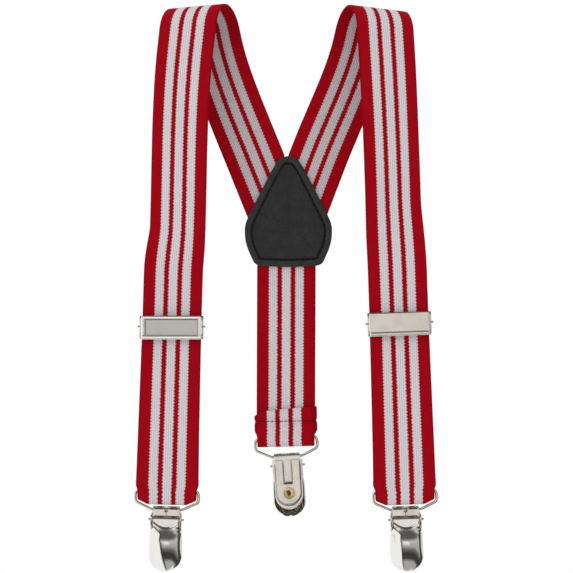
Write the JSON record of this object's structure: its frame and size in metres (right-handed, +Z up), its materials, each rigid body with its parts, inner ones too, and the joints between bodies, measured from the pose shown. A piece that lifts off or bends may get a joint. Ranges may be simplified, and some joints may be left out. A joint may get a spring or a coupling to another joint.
{
  "type": "clip-on suspenders",
  "caption": "Y-back suspenders of striped webbing with a leather back patch, domed metal clips on wire bails and sliding adjusters.",
  "frame": {"origin": "midway between the two shoulder folds, on the axis that the straps fold over", "axes": "+Z up along the hanging straps, +X to the right in a front view, -Y to the front (front straps), +Y to the back (patch and rear strap)"},
  "size_m": [0.1265, 0.0261, 0.2364],
  "materials": {
    "webbing": "matt striped knit, red and off-white",
    "leather": "fine grain, semi-matt black",
    "nickel": "polished nickel plate on steel sheet and wire",
    "brass": "bright",
    "plastic": "translucent white grip pad"
  },
  "bodies": {
    "webbing": {"strap_left": "webbing", "strap_right": "webbing", "strap_rear": "webbing", "patch_inner": "leather", "patch_outer": "leather", "strap_left_run": "webbing", "strap_right_run": "webbing"},
    "adjuster_left": {"adjuster_frame_left": "nickel", "adjuster_pin_left": "nickel", "strap_left_tail": "webbing"},
    "adjuster_cover_left": {"adjuster_cover_left": "nickel"},
    "loop_left": {"strap_left_bend": "webbing"},
    "adjuster_right": {"adjuster_frame_right": "nickel", "adjuster_pin_right": "nickel", "strap_right_tail": "webbing"},
    "adjuster_cover_right": {"adjuster_cover_right": "nickel"},
    "loop_right": {"strap_right_bend": "webbing"},
    "bail_left": {"bail_left": "nickel"},
    "clip_left": {"base_plate_left": "nickel", "grip_pad_left": "plastic", "eyelet_left": "brass", "hinge_pin_left": "nickel"},
    "lever_left": {"lever_left": "nickel"},
    "bail_right": {"bail_right": "nickel"},
    "clip_right": {"base_plate_right": "nickel", "grip_pad_right": "plastic", "eyelet_right": "brass", "hinge_pin_right": "nickel"},
    "lever_right": {"lever_right": "nickel"},
    "bail_rear": {"bail_rear": "nickel"},
    "clip_rear": {"base_plate_rear": "nickel", "grip_pad_rear": "plastic", "eyelet_rear": "brass", "hinge_pin_rear": "nickel"},
    "lever_rear": {"lever_rear": "nickel"}
  },
  "joints": [
    {"name": "adjuster_left_slide", "type": "slide", "parent": "webbing", "child": "adjuster_left", "axis": [0.03, 0, 0.9996], "range_m": [-0.03, 0.018], "deforming": ["strap_left_tail"]},
    {"name": "loop_left_slide", "type": "slide", "parent": "webbing", "child": "loop_left", "axis": [0.03, 0, 0.9996], "range_m": [-0.015, 0.009], "deforming": ["strap_left_run"]},
    {"name": "adjuster_cover_left_hinge", "type": "hinge", "parent": "adjuster_left", "child": "adjuster_cover_left", "pos_m": [-0.04697, -0.0109, -0.1241], "axis": [-1, 0, 0], "range_deg": [0, 25]},
    {"name": "adjuster_right_slide", "type": "slide", "parent": "webbing", "child": "adjuster_right", "axis": [-0.0344, 0, 0.9994], "range_m": [-0.03, 0.018], "deforming": ["strap_right_tail"]},
    {"name": "loop_right_slide", "type": "slide", "parent": "webbing", "child": "loop_right", "axis": [-0.0344, 0, 0.9994], "range_m": [-0.015, 0.009], "deforming": ["strap_right_run"]},
    {"name": "adjuster_cover_right_hinge", "type": "hinge", "parent": "adjuster_right", "child": "adjuster_cover_right", "pos_m": [0.04731, -0.0109, -0.1226], "axis": [-0.9994, 0, -0.0344], "range_deg": [0, 25]},
    {"name": "bail_left_hinge", "type": "hinge", "parent": "loop_left", "child": "bail_left", "pos_m": [-0.049, -0.0073, -0.1921], "axis": [-0.9996, 0, 0.03], "range_deg": [-60, 60]},
    {"name": "clip_left_hinge", "type": "hinge", "parent": "bail_left", "child": "clip_left", "pos_m": [-0.04924, -0.0073, -0.2002], "axis": [-0.9996, 0, 0.03], "range_deg": [-40, 30]},
    {"name": "lever_left_hinge", "type": "hinge", "parent": "clip_left", "child": "lever_left", "pos_m": [-0.04936, -0.0086, -0.20419], "axis": [-0.9996, 0, 0.03], "range_deg": [0, 90], "stiffness_Nm_per_rad": 0.0008, "springref_deg": -20.05},
    {"name": "bail_right_hinge", "type": "hinge", "parent": "loop_right", "child": "bail_right", "pos_m": [0.0497, -0.0073, -0.1921], "axis": [-0.9994, 0, -0.0344], "range_deg": [-60, 60]},
    {"name": "clip_right_hinge", "type": "hinge", "parent": "bail_right", "child": "clip_right", "pos_m": [0.04998, -0.0073, -0.2002], "axis": [-0.9994, 0, -0.0344], "range_deg": [-40, 30]},
    {"name": "lever_right_hinge", "type": "hinge", "parent": "clip_right", "child": "lever_right", "pos_m": [0.05012, -0.0086, -0.20419], "axis": [-0.9994, 0, -0.0344], "range_deg": [0, 90], "stiffness_Nm_per_rad": 0.0008, "springref_deg": -20.05},
    {"name": "bail_rear_hinge", "type": "hinge", "parent": "webbing", "child": "bail_rear", "pos_m": [0.0003, 0.0074, -0.1715], "axis": [0.9982, 0, 0.0593], "range_deg": [-60, 60]},
    {"name": "clip_rear_hinge", "type": "hinge", "parent": "bail_rear", "child": "clip_rear", "pos_m": [0.00078, 0.0074, -0.17959], "axis": [0.9982, 0, 0.0593], "range_deg": [-40, 30]},
    {"name": "lever_rear_hinge", "type": "hinge", "parent": "clip_rear", "child": "lever_rear", "pos_m": [0.00102, 0.0087, -0.18358], "axis": [0.9982, 0, 0.0593], "range_deg": [0, 90], "stiffness_Nm_per_rad": 0.0008, "springref_deg": -20.05}
  ],
  "couplings": [
    {"joint": "loop_left_slide", "follows": "adjuster_left_slide", "ratio": 0.5},
    {"joint": "loop_right_slide", "follows": "adjuster_right_slide", "ratio": 0.5}
  ]
}
